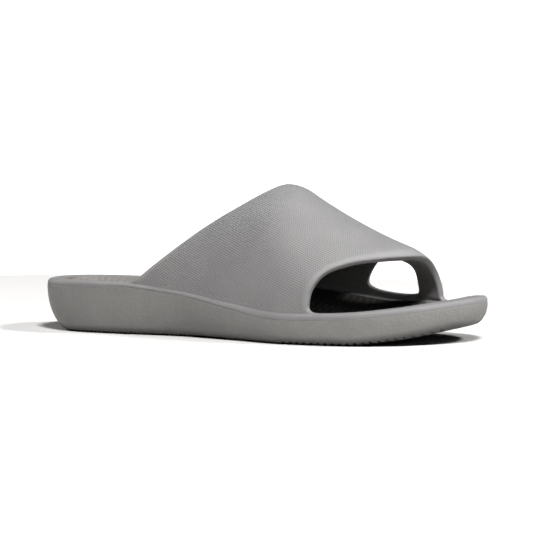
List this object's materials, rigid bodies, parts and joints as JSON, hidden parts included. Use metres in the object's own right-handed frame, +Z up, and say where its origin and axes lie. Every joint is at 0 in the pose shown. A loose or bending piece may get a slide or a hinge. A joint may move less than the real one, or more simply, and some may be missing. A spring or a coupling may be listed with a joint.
{
  "type": "slide sandal",
  "caption": "Moulded foam slide sandal for the right foot: dished footbed, one closed vamp strap, open toe and heel, rounded side window on the inner side.",
  "frame": {"origin": "on the floor, under the middle of the sandal's bounding box", "axes": "+X from heel to toe, +Y to the inner (medial) side of the right foot, +Z up"},
  "size_m": [0.27, 0.1018, 0.088],
  "materials": {
    "sole": "matt moulded foam",
    "footbed": "matt moulded foam, fine wave texture",
    "upper": "matt moulded foam, fine woven-look texture"
  },
  "bodies": {
    "root": {"sole": "sole", "footbed": "footbed", "upper": "upper"}
  },
  "joints": []
}
